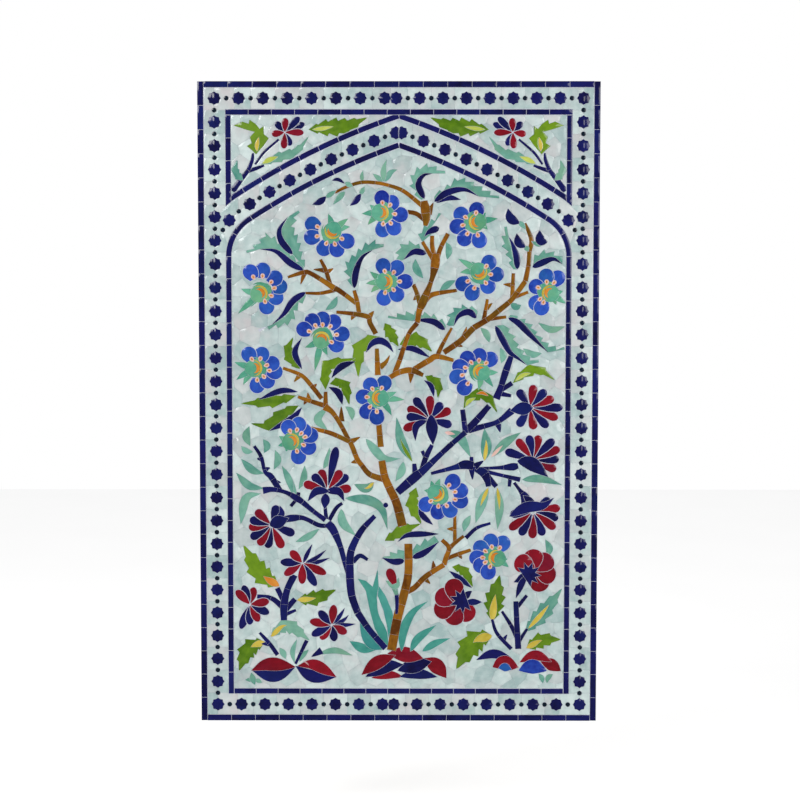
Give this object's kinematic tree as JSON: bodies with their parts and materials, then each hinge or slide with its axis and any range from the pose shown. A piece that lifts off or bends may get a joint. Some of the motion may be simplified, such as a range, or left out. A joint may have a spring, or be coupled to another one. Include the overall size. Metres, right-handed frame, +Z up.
{
  "type": "mosaic panel",
  "caption": "Upright wall panel of cut glazed tiles: a flowering tree under a pointed arch, in a border of stars.",
  "frame": {"origin": "centre of the flat back face, where the panel meets the wall", "axes": "+Z up along the panel's height, +Y into the wall, the tiled face looks along -Y"},
  "size_m": [1.22, 0.0323, 1.96],
  "materials": {
    "cement_bed": "cement mortar, matt",
    "navy_glaze": "glazed ceramic, glossy",
    "white_glaze": "glazed ceramic, glossy",
    "cobalt_glaze": "glazed ceramic, glossy",
    "red_glaze": "glazed ceramic, glossy",
    "ochre_glaze": "glazed ceramic, glossy",
    "aqua_glaze": "glazed ceramic, glossy",
    "green_glaze": "glazed ceramic, glossy"
  },
  "bodies": {
    "root": {"border_ground": "white_glaze", "carnation_far_left": "red_glaze", "carnation_left": "red_glaze", "carnation_middle": "red_glaze", "carnation_right": "red_glaze", "carnation_right_lower": "red_glaze", "carnation_right_upper": "red_glaze", "crown_limbs": "ochre_glaze", "crown_spray": "ochre_glaze", "fan_flower_branch_left": "cobalt_glaze", "fan_flower_far_left": "cobalt_glaze", "fan_flower_far_right": "cobalt_glaze", "fan_flower_foot_right": "cobalt_glaze", "fan_flower_low_left": "cobalt_glaze", "fan_flower_low_right": "cobalt_glaze", "fan_flower_middle_left": "cobalt_glaze", "fan_flower_middle_right": "cobalt_glaze", "fan_flower_shoulder_left": "cobalt_glaze", "fan_flower_shoulder_right": "cobalt_glaze", "fan_flower_top": "cobalt_glaze", "fan_flower_trunk": "cobalt_glaze", "fan_flower_waist_left": "cobalt_glaze", "fan_flower_waist_right": "cobalt_glaze", "field_band": "navy_glaze", "field_ground": "white_glaze", "foot_blade_left": "aqua_glaze", "foot_blade_right": "aqua_glaze", "hillock_far_left": "red_glaze", "hillock_far_right": "red_glaze", "hillock_left": "red_glaze", "hillock_middle": "red_glaze", "hillock_right": "red_glaze", "leaf_foot_left": "aqua_glaze", "leaf_foot_right": "aqua_glaze", "leaf_low_left": "aqua_glaze", "leaf_serrated_right": "aqua_glaze", "left_limb": "ochre_glaze", "mortar_bed": "cement_bed", "outer_band": "navy_glaze", "rose_centre_right": "red_glaze", "rose_right": "red_glaze", "spandrel_acanthus_left": "green_glaze", "spandrel_acanthus_right": "green_glaze", "spandrel_band": "navy_glaze", "spandrel_flower_left": "red_glaze", "spandrel_flower_right": "red_glaze", "spandrel_ground_left": "white_glaze", "spandrel_ground_right": "white_glaze", "spandrel_long_leaf_left": "green_glaze", "spandrel_long_leaf_right": "green_glaze", "star_flower_far_left": "red_glaze", "star_flower_left": "red_glaze", "star_flower_low": "red_glaze", "stem_foot_left": "navy_glaze", "stem_foot_right": "navy_glaze", "stem_left": "navy_glaze", "stem_right": "navy_glaze", "trunk_foot": "ochre_glaze", "trunk_middle": "ochre_glaze", "trunk_neck": "ochre_glaze"}
  },
  "joints": []
}
